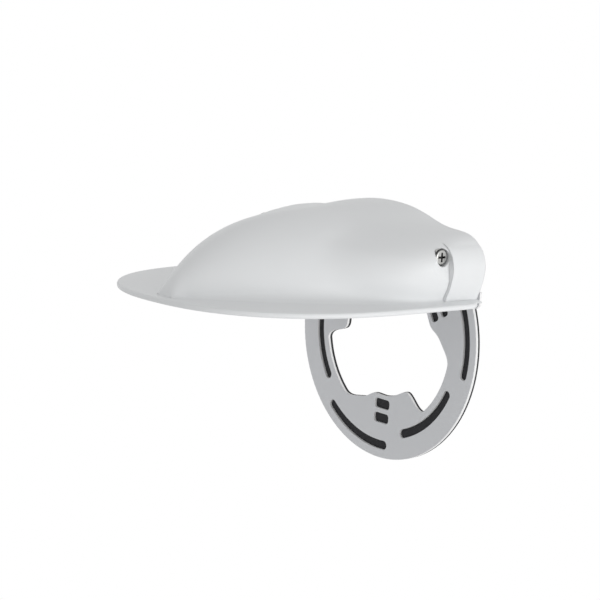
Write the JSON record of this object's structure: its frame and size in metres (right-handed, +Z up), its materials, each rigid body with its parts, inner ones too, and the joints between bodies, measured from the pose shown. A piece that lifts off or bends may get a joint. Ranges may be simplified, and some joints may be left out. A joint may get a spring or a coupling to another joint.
{
  "type": "camera sun shield",
  "caption": "White moulded sun and rain hood with a peaked brim, tilting on the ears of a slotted steel wall ring for a small dome camera.",
  "frame": {"origin": "middle of the ring plate, on the wall's face behind the gasket", "axes": "+X the shield's left as it looks out (right in a front view), -Y the way the hood points, +Z up"},
  "size_m": [0.1468, 0.1537, 0.1307],
  "materials": {
    "painted_steel": "satin light grey paint",
    "gasket_foam": "matt black foam",
    "white_plastic": "matt white",
    "screw_steel": "stainless",
    "nylon": "natural nylon",
    "nut_steel": "zinc plated"
  },
  "bodies": {
    "plate": {"ring_plate": "painted_steel", "ring_gasket": "gasket_foam", "side_screw_right": "screw_steel", "side_screw_left": "screw_steel", "tilt_washer_right": "nylon", "tilt_washer_left": "nylon", "ear_nut_right": "nut_steel", "ear_nut_left": "nut_steel"},
    "hood": {"hood": "white_plastic"}
  },
  "joints": [
    {"name": "hood_tilt", "type": "hinge", "parent": "plate", "child": "hood", "pos_m": [0, -0.0325, 0.0502], "axis": [-1, 0, 0], "range_deg": [-6, 8]}
  ]
}
